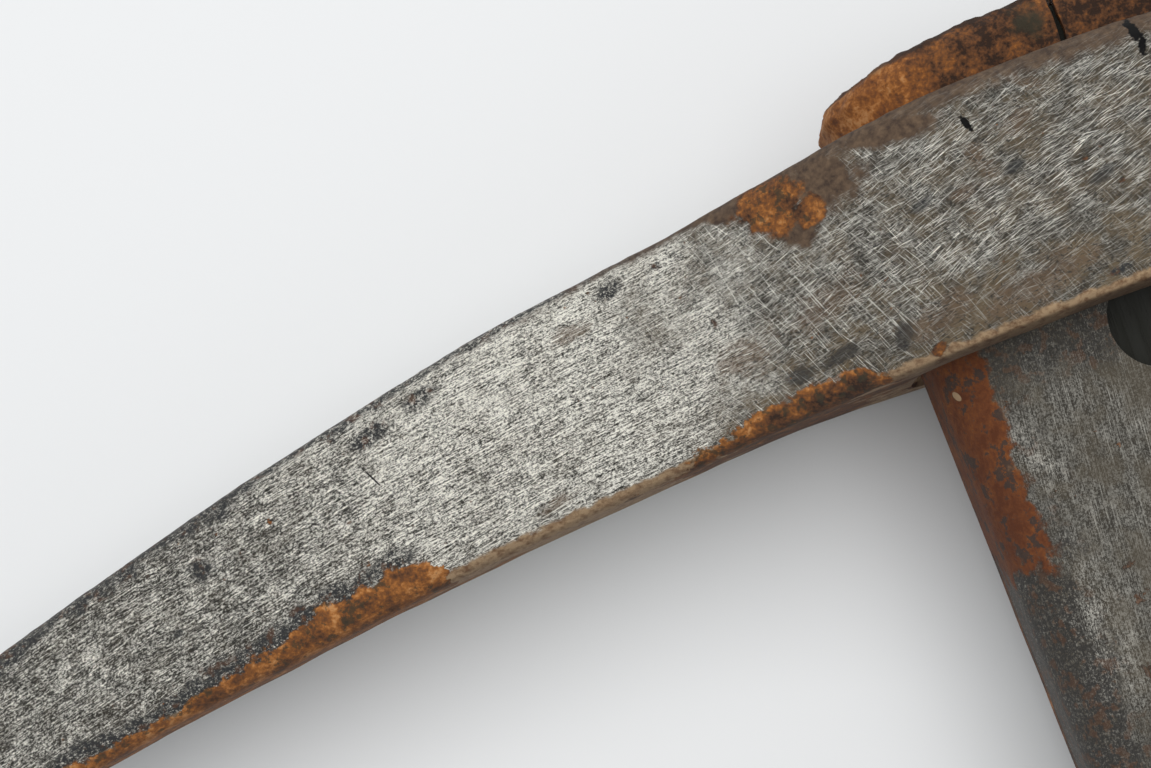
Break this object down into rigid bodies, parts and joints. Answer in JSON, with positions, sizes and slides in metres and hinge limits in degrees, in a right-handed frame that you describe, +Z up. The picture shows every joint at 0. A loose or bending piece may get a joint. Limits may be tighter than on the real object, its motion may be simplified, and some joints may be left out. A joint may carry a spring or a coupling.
{
  "type": "pickaxe",
  "caption": "Slip-fit pickaxe: a forged head with a pointed arm and a chisel arm, jammed on the flared steel sleeve of a wooden helve.",
  "frame": {"origin": "centre of the lower cheek's flat face, under the centre of the eye, with the pickaxe lying on its side", "axes": "+X along the arms towards the chisel, +Y along the helve towards the head, +Z up from the floor"},
  "size_m": [0.6358, 0.9141, 0.0685],
  "materials": {
    "head_steel": "worn and scratched, rusted along the edges",
    "sleeve_steel": "dull, rusted",
    "ash_wood": "weathered, hand-worn",
    "rivet_steel": "dark, rusted"
  },
  "bodies": {
    "helve": {"helve": "ash_wood", "ferrule": "sleeve_steel", "ferrule_rivet_left": "rivet_steel", "ferrule_rivet_right": "rivet_steel"},
    "head": {"pick_head": "head_steel"}
  },
  "joints": [
    {"name": "head_slide", "type": "slide", "parent": "helve", "child": "head", "axis": [0, -1, 0], "range_m": [0, 0.95]}
  ]
}
